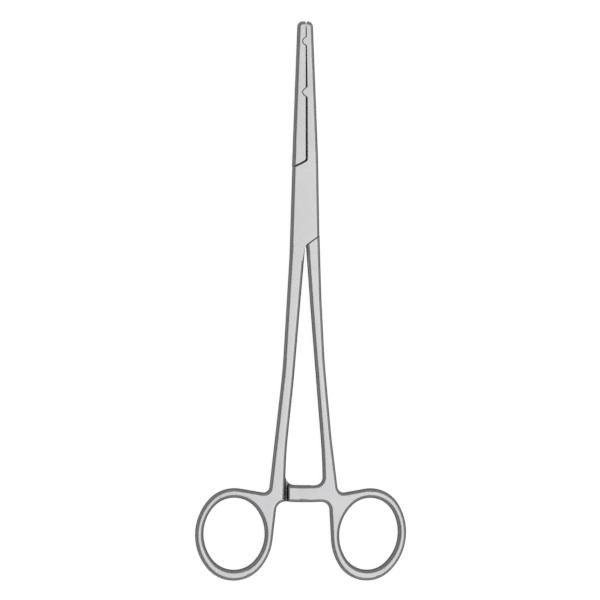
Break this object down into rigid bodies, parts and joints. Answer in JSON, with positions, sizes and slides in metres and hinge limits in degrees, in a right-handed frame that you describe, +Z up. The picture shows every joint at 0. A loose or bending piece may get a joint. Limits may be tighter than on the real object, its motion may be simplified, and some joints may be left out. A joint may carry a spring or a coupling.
{
  "type": "hysterectomy forceps",
  "caption": "Long straight ring-handled clamp with a box lock, ratchet bars, and toothed jaws grooved lengthwise, shown closed.",
  "frame": {"origin": "centre of the lock's flat underside, on the axis of the lock pin, with the forceps lying flat and closed", "axes": "+Y along the forceps from the pin towards the jaw tips, +Z up along the pin out of the flat face, +X towards the ring of the tongue half"},
  "size_m": [0.0792, 0.2099, 0.006],
  "materials": {
    "box_half_steel": "satin",
    "tongue_half_steel": "satin",
    "lock_pin_steel": "satin"
  },
  "bodies": {
    "box_body": {"box_half": "box_half_steel", "lock_pin": "lock_pin_steel"},
    "tongue_body": {"tongue_half": "tongue_half_steel"}
  },
  "joints": [
    {"name": "lock_hinge", "type": "hinge", "parent": "box_body", "child": "tongue_body", "pos_m": [0, 0, 0.003], "axis": [0, 0, 1], "range_deg": [0, 32]}
  ]
}
